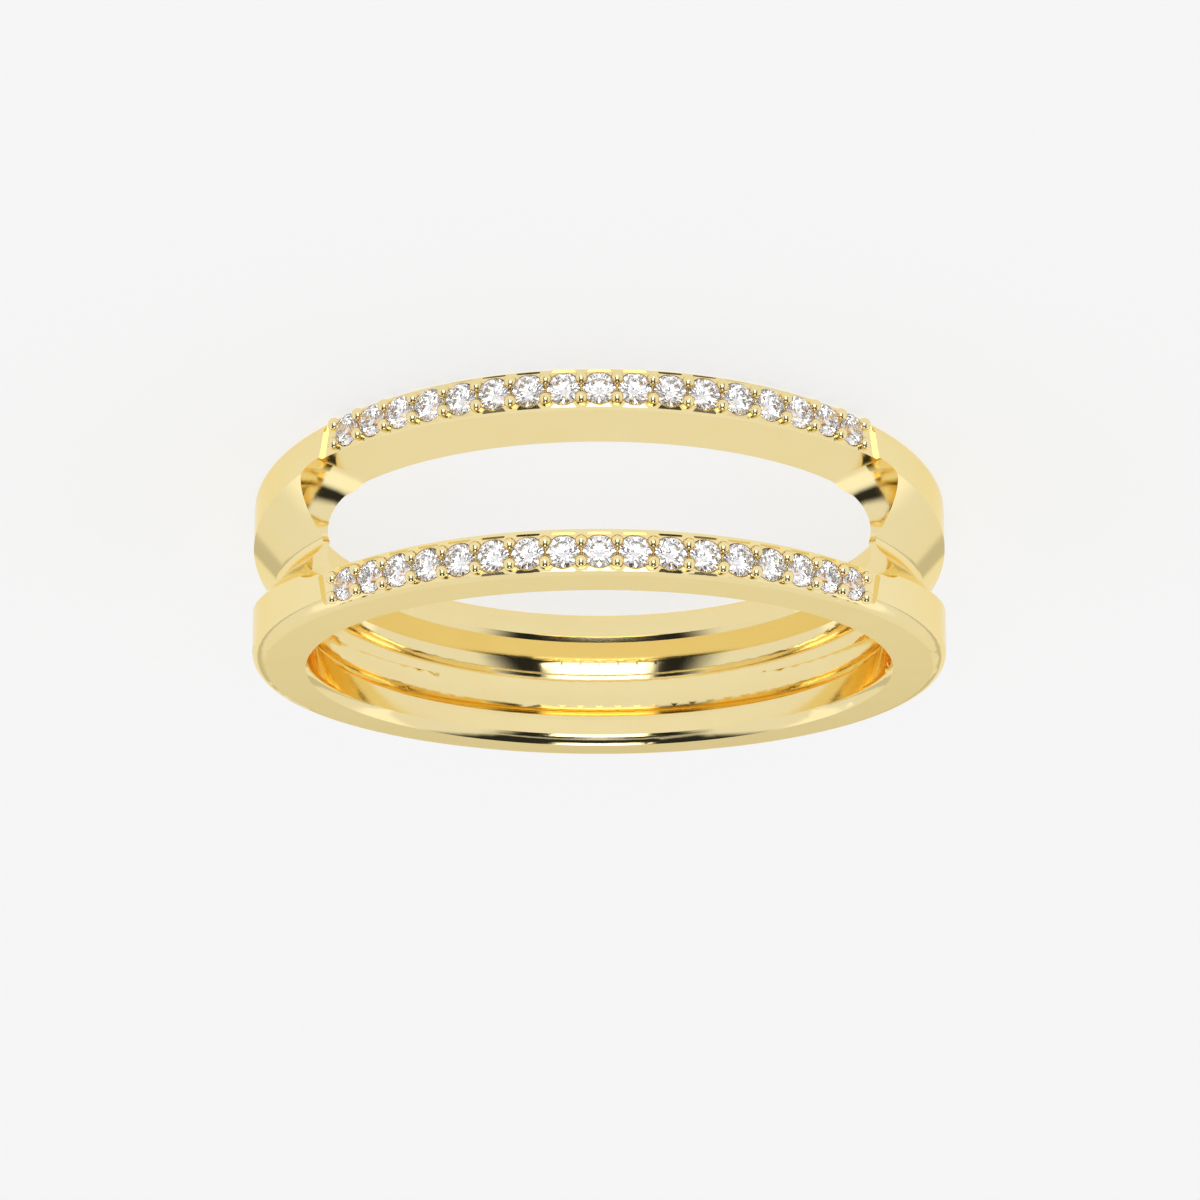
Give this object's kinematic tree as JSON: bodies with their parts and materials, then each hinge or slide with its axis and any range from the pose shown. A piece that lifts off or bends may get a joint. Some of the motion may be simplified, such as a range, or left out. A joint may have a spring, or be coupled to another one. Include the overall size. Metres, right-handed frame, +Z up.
{
  "type": "ring guard",
  "caption": "Ring guard: slim twin bands joined below a through space, each with a row of small round stones; another ring is worn in the space between them.",
  "frame": {"origin": "on the surface that the ring lies on, under the middle of its box", "axes": "+Z up, close to the finger axis, which leans 2.9 degrees because the ring lies on the tapered side face of its rear band; the stones face -Y; +X runs across the row of stones"},
  "size_m": [0.0208, 0.0214, 0.0062],
  "materials": {
    "yellow_gold": "polished",
    "clear_stone": "faceted and polished"
  },
  "bodies": {
    "root": {"ring": "yellow_gold", "stone_front_01": "clear_stone", "stone_front_02": "clear_stone", "stone_front_03": "clear_stone", "stone_front_04": "clear_stone", "stone_front_05": "clear_stone", "stone_front_06": "clear_stone", "stone_front_07": "clear_stone", "stone_front_08": "clear_stone", "stone_front_09": "clear_stone", "stone_front_10": "clear_stone", "stone_front_11": "clear_stone", "stone_front_12": "clear_stone", "stone_front_13": "clear_stone", "stone_front_14": "clear_stone", "stone_front_15": "clear_stone", "stone_front_16": "clear_stone", "stone_front_17": "clear_stone", "stone_rear_01": "clear_stone", "stone_rear_02": "clear_stone", "stone_rear_03": "clear_stone", "stone_rear_04": "clear_stone", "stone_rear_05": "clear_stone", "stone_rear_06": "clear_stone", "stone_rear_07": "clear_stone", "stone_rear_08": "clear_stone", "stone_rear_09": "clear_stone", "stone_rear_10": "clear_stone", "stone_rear_11": "clear_stone", "stone_rear_12": "clear_stone", "stone_rear_13": "clear_stone", "stone_rear_14": "clear_stone", "stone_rear_15": "clear_stone", "stone_rear_16": "clear_stone", "stone_rear_17": "clear_stone"}
  },
  "joints": []
}
